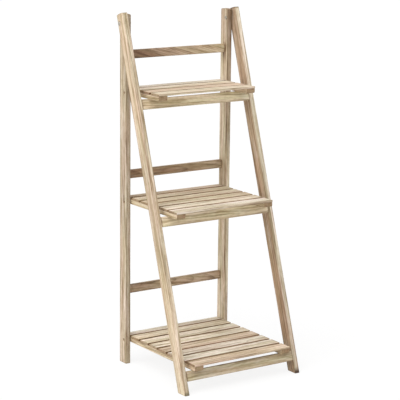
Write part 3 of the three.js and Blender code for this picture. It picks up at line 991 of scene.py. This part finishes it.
for shelf in SHELVES:
    low, high, middle = box_middle(f"rear_bar_{shelf}")
    make_bar(f"rear_bar_{shelf}", "rear_frame", high[1] - low[1], high[2] - low[2],
             (0, 1, 0), (0, 0, 1), REAR_CUTS[shelf])
for shelf in SHELVES:
    make_bar(f"front_bar_{shelf}", "front_frame", BAR_THICK, BAR_HIGH, square_to_rail, along_rail, FRONT_CUT)
print("bars:", 2 * len(SHELVES))

# %% [markdown]
# ## Shelves
# A shelf is a row of thin slats pinned across two battens. Copies of one slat would look stamped. Pinned
# by hand, the slats stray: one stands out by half a millimetre, the next is a touch askew. The battens'
# tails are round, because they swing as the stand folds.

# %% Slats
SLAT_EASE = 0.0007
SLAT_STRAY, SLAT_ASKEW, SLAT_BOW = 0.0005, 0.0012, 0.00008
SLAT_SHAVED = 0.0004     # off its width, so that a slat that lies askew still fits its CAD node's
FRONT_EDGE_SHADE = 0.15      # how much of the painted gap shade the front slat's front edge gets, with no slat before it
for shelf in SHELVES:
    for number, tone in enumerate(SLAT_TONES[shelf], start=1):
        node = f"{shelf}_slat_{number}"
        low, high, middle = box_middle(node)
        length, wide, thin = high - low
        rng = np.random.default_rng(seed_of(node + " stray"))
        stray, askew = rng.uniform(-1, 1, 2) * (SLAT_STRAY, SLAT_ASKEW)
        grain = unit((1, askew, 0))
        start_at = middle - grain * length / 2 + np.array([stray, 0, 0])
        placement = Placement(start_at, (0, 0, 1), (-askew, 1, 0), grain)
        front_edge_share = FRONT_EDGE_SHADE if number == len(SLAT_TONES[shelf]) else 1.0
        # Each slat's narrow sides get painted shade for the gaps between slats; the front slat's open front
        # edge gets less.
        make_board(node, f"shelf_{shelf}", placement, length, thin, wide - SLAT_SHAVED,
                   SLAT_EASE, tone, bow=SLAT_BOW, gap_shade=(front_edge_share, 1.0))
print("slats:", sum(len(tones) for tones in SLAT_TONES.values()))

# %% Battens
BATTEN_NIP = 0.003


def nipped_nose(tall):
    """Where a batten's fibres begin: its lower front corner is cut off at 45 degrees."""
    return lambda y: np.maximum(0, BATTEN_NIP - (y + tall / 2))


def round_tail(length, tall):
    """Where a batten's fibres stop: a half circle as high as the batten."""
    return lambda y: length - tall / 2 + np.sqrt(np.maximum((tall / 2) ** 2 - y**2, 0))


for shelf in SHELVES:
    for side, sign in SIDES:
        node = f"{shelf}_batten_{side}"
        low, high, middle = box_middle(node)
        wide, length, tall = high - low
        placement = Placement((middle[0], low[1], middle[2]), (1, 0, 0), (0, 0, 1), (0, 1, 0))
        make_board(node, f"shelf_{shelf}", placement, length, wide, tall, SLAT_EASE, "sand",
                   start=nipped_nose(tall), end=round_tail(length, tall), bow=0.0)
print("battens:", len(SHELVES) * len(SIDES))

# %% [markdown]
# ## Hardware
# A low-headed connector bolt and a cap nut with a hexagon socket hold each rail to its post. The shelves
# turn on countersunk screws with a cross recess, sunk just below the wood. Recesses could be cut out as
# the holes were. But a head is turned work, so here its face is a polar grid, and a recess is a dip in
# it. The bolts, nuts and spacing rings are dull zinc, and the screws and the slats' pins are a yellower
# steel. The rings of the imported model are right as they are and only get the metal.

# %% Zinc and steel
def make_plated(name, pale, dark):
    """Metal in two shades that cloud into one another, with a fine grit in its surface."""
    metal = Finish(bpy.data.materials.new(name))
    place = metal.node("ShaderNodeTexCoord", output="Object")
    cloud = metal.node("ShaderNodeTexNoise", None, {"Vector": place, "Scale": 260.0, "Detail": 4.0})
    grit = metal.node("ShaderNodeTexNoise", None, {"Vector": place, "Scale": 2600.0, "Detail": 2.0})
    colour = metal.mix(metal.step(cloud, 0.35, 0.68), pale, dark)
    bump = metal.node("ShaderNodeBump", None, {"Strength": 0.3, "Distance": 0.0001, "Height": grit})
    metal.surface(Base_Color=colour, Metallic=1.0, Roughness=0.42 + 0.25 * cloud, Normal=bump)
    return metal.owner


ZINC = make_plated("dull_zinc", (0.56, 0.51, 0.43, 1), (0.40, 0.36, 0.30, 1))
STEEL = make_plated("yellowed_steel", (0.50, 0.37, 0.24, 1), (0.32, 0.22, 0.14, 1))
spacing_rings = [node for name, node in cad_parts.items() if "spacer" in name]
for node in spacing_rings:
    for slot in node.material_slots:
        slot.material = ZINC
print("zinc on", len(spacing_rings), "rings")


# %% Turned metal with a recess
def make_metal(node, body, finish, points, faces):
    """A metal piece that stands for one CAD node and rides on its body."""
    piece = solid_of("metal_" + node, points, faces, len(faces), False)
    piece.data.materials.append(finish)
    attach(piece, body)
    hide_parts(node)


FACE_STEPS = 96


def faced(face_x, sign, centre, radii, dip, back):
    """A turned piece whose outer face is a polar grid with a recess in it.

    The face is at x = face_x - sign * dip(u, v) for (u, v) from its centre. The back is a list of
    (depth, radius) that goes round behind it, and its last point is on the axis.
    """
    angle = np.linspace(0, 2 * np.pi, FACE_STEPS, endpoint=False)
    u, v = np.outer(radii, np.cos(angle)), np.outer(radii, np.sin(angle))
    face = np.stack([face_x - sign * dip(u, v), centre[0] + u, centre[1] + v], -1).reshape(-1, 3)
    depth, radius = np.array(back[:-1], float).T
    behind = around_x(face_x - sign * depth, radius, centre, FACE_STEPS)
    middle_dip = float(dip(np.zeros(1), np.zeros(1))[0])
    poles = [(face_x - sign * x, *centre) for x in (middle_dip, back[-1][0])]
    points = np.vstack([face, behind, poles])
    faces = [(f[0], *f[:0:-1]) for f in closed_faces(len(radii) + len(depth), FACE_STEPS)]
    return points, backwards(faces) if sign < 0 else faces


print("a recessed head has", FACE_STEPS, "sides")

# %% Bolts and cap nuts
BOLT_R, BOLT_HEAD_R, BOLT_HEAD_HIGH, BOLT_HEAD_RIM = 0.003, 0.0055, 0.0022, 0.0007
BOLT_TIP, THREAD_LONG, THREAD_PITCH, THREAD_DEEP = 0.0007, 0.009, 0.001, 0.0005
BOLT_STEPS, DOME_RINGS = 48, 12
SLEEVE_R, SLEEVE_BORE, SLEEVE_LONG = 0.004, 0.0033, 0.009
CAP_R, CAP_HIGH, CAP_FLOOR, CAP_EASE, CAP_GAP = 0.0048, 0.0019, 0.0032, 0.0006, 0.0003
CAP_RIM = 0.3 * CAP_EASE
SOCKET_FLATS, SOCKET_DEEP, SOCKET_WALL = 0.004, 0.0017, 0.0002
SOCKET_RINGS = np.linspace(0.0002, 0.0026, 25)     # close together, so that the socket's walls are steep
CAP_FACE_RING = 0.0034


def bolt_profile(inner, outer):
    """(x, radius) of a bolt from its thread's end to its low dome, which follows a quarter of an ellipse."""
    ridges = np.arange(0, THREAD_LONG, THREAD_PITCH / 2)
    thread = [(inner + BOLT_TIP + r, BOLT_R - THREAD_DEEP * (i % 2)) for i, r in enumerate(ridges)]
    seat = outer - BOLT_HEAD_HIGH
    turn = np.linspace(0, np.pi / 2, DOME_RINGS)[:-1]
    dome_x = seat + BOLT_HEAD_RIM + (BOLT_HEAD_HIGH - BOLT_HEAD_RIM) * np.sin(turn)
    dome = list(zip(dome_x, BOLT_HEAD_R * np.cos(turn)))
    start = [(inner, 0), (inner, BOLT_R - BOLT_TIP)]
    return start + thread + [(seat, BOLT_R), (seat, BOLT_HEAD_R)] + dome + [(outer, 0)]


def socket_dip(u, v):
    """A hexagon's depth: the largest of three |u cos t + v sin t| is the distance to its flats."""
    turns = np.radians([0, 60, 120])
    reach = np.max([np.abs(u * math.cos(t) + v * math.sin(t)) for t in turns], axis=0)
    return SOCKET_DEEP * np.clip((SOCKET_FLATS / 2 - reach) / SOCKET_WALL + 0.5, 0, 1)


for side, sign in SIDES:
    node = f"hinge_bolt_{side}"
    low, high, middle = box_middle(node)
    ends = (high[0], low[0]) if sign < 0 else (low[0], high[0])
    profile = [(sign * x, r) for x, r in bolt_profile(abs(ends[0]), abs(ends[1]))]
    make_metal(node, "front_frame", ZINC, *turned(profile, middle[1:], BOLT_STEPS))
    node = f"hinge_cap_nut_{side}"
    low, high, middle = box_middle(node)
    face_x = low[0] if sign > 0 else high[0]
    face_rings = [*SOCKET_RINGS, CAP_FACE_RING, CAP_R - CAP_EASE, CAP_R - CAP_RIM]
    edge = [(CAP_RIM, CAP_R), (CAP_HIGH, CAP_R), (CAP_HIGH, SLEEVE_R)]
    sleeve_end = CAP_HIGH + CAP_GAP + SLEEVE_LONG
    bore = [(sleeve_end, SLEEVE_R), (sleeve_end, SLEEVE_BORE), (CAP_FLOOR, SLEEVE_BORE), (CAP_FLOOR, 0)]
    nut = faced(face_x, -sign, middle[1:], face_rings, socket_dip, edge + bore)
    make_metal(node, "front_frame", ZINC, *nut)
print("bolts: 2, cap nuts: 2")

# %% Screws
HEAD_R, HEAD_RIM, HEAD_DEEP, SHANK_R, SHANK_SHOWN = 0.0044, 0.0003, 0.0026, 0.0022, 0.012
HEAD_RINGS = np.linspace(0.04, 1, 18) * HEAD_R
CROSS_LONG, CROSS_WIDE, CROSS_DEEP = 0.0024, 0.00065, 0.0016
CROSS_WALL, CROSS_END = 1.6, 4     # how steeply the recess falls at its sides and at its arms' ends


def cross_dip(u, v):
    """A cross's depth: each arm falls from 1 to 0 across its width and length, and the deeper arm counts."""
    def arm(p, q):
        across = np.clip(CROSS_WALL * (1 - np.abs(q) / CROSS_WIDE), 0, 1)
        along = np.clip(CROSS_END * (1 - np.abs(p) / CROSS_LONG), 0, 1)
        return across * along

    return CROSS_DEEP * np.maximum(arm(u, v), arm(v, u))


for shelf in SHELVES:
    for side, sign in SIDES:
        node = f"{shelf}_pivot_screw_{side}"
        low, high, middle = box_middle(node)
        face_x = high[0] if sign > 0 else low[0]
        back = [(HEAD_RIM, HEAD_R), (HEAD_DEEP, SHANK_R), (SHANK_SHOWN, SHANK_R), (SHANK_SHOWN, 0)]
        screw = faced(face_x, sign, middle[1:], HEAD_RINGS, cross_dip, back)
        make_metal(node, f"shelf_{shelf}", STEEL, *screw)
print("screws:", len(SHELVES) * len(SIDES))

# %% [markdown]
# ## Pins
# Each slat is held at both ends by two fine pins, driven almost flush. A sphere for each would be wasted,
# since they are less than two millimetres wide. A shallow dome of a few faces is enough, and one mesh
# holds all the pins of a shelf.

# %% Pin the slats
PIN_R, PIN_HIGH, PIN_IN, PIN_APART = 0.0008, 0.00012, 0.0135, 0.25
PIN_FOOT = -0.0003       # below the slat's face
PIN_RINGS = ((PIN_R, PIN_FOOT), (PIN_R, 0.00004), (PIN_R * 0.7, PIN_HIGH))     # radius and height
PIN_STEPS = 10


def pin(x, y, z):
    """A low dome: each ring is radius * (cos t, sin t) at its own height, closed above and below."""
    angle = np.linspace(0, 2 * np.pi, PIN_STEPS, endpoint=False)
    radius, height = np.array(PIN_RINGS).T[:, :, None]
    rim = np.stack([x + radius * np.cos(angle), y + radius * np.sin(angle), z + height + 0 * angle], -1)
    points = np.vstack([rim.reshape(-1, 3), [(x, y, z + PIN_FOOT)], [(x, y, z + PIN_HIGH)]])
    return points, closed_faces(len(PIN_RINGS), PIN_STEPS)


for shelf in SHELVES:
    shapes = []
    for number in range(1, len(SLAT_TONES[shelf]) + 1):
        low, high, middle = box_middle(f"{shelf}_slat_{number}")
        wide = high[1] - low[1]
        for x in (low[0] + PIN_IN, high[0] - PIN_IN):
            shapes += [pin(x, middle[1] + d * wide, high[2]) for d in (-PIN_APART, PIN_APART)]
    points, faces = gather(shapes)
    pins = solid_of(f"pins_{shelf}", points, faces, len(faces), False)
    pins.data.materials.append(STEEL)
    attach(pins, f"shelf_{shelf}")
    print("pins on the", shelf, "shelf:", len(shapes))

# %% [markdown]
# ## Measure
# Nothing here is meant to change the stand's size. That could be taken on trust, but measuring is cheap:
# the dressed stand's box is printed, as the imported model's box was at the start.

# %% Measure
low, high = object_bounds()
print("size:", [round(v, 4) for v in (*low, *high)])
